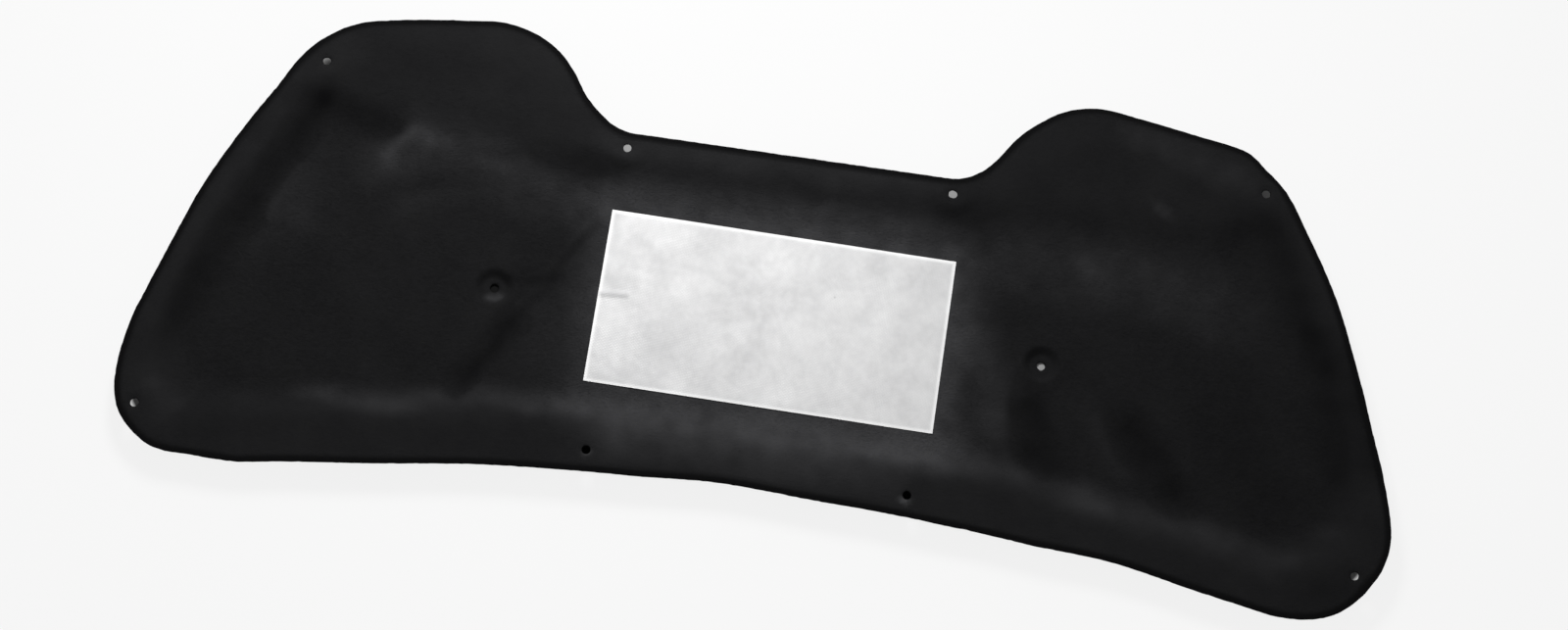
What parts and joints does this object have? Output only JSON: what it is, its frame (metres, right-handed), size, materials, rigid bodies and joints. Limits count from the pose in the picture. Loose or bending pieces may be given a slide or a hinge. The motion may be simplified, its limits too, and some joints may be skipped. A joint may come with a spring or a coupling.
{
  "type": "hood insulation pad",
  "caption": "Moulded black felt pad for the inside of a car hood, with clip holes in its pressed flange and a heat reflecting foil patch at its centre.",
  "frame": {"origin": "middle of the pad's box, on the surface that it lies on, hood side down", "axes": "+X across the car to the right as seen from behind the pad's rear edge, +Y to the front of the car, towards the two ears, +Z away from the hood, out of the engine side"},
  "size_m": [1.265, 0.4964, 0.03],
  "materials": {
    "felt": "black needled polyester felt, matt, pressed hard along the flange",
    "foil": "satin aluminium foil on glass cloth"
  },
  "bodies": {
    "root": {"felt_pad": "felt", "foil_patch": "foil"}
  },
  "joints": []
}
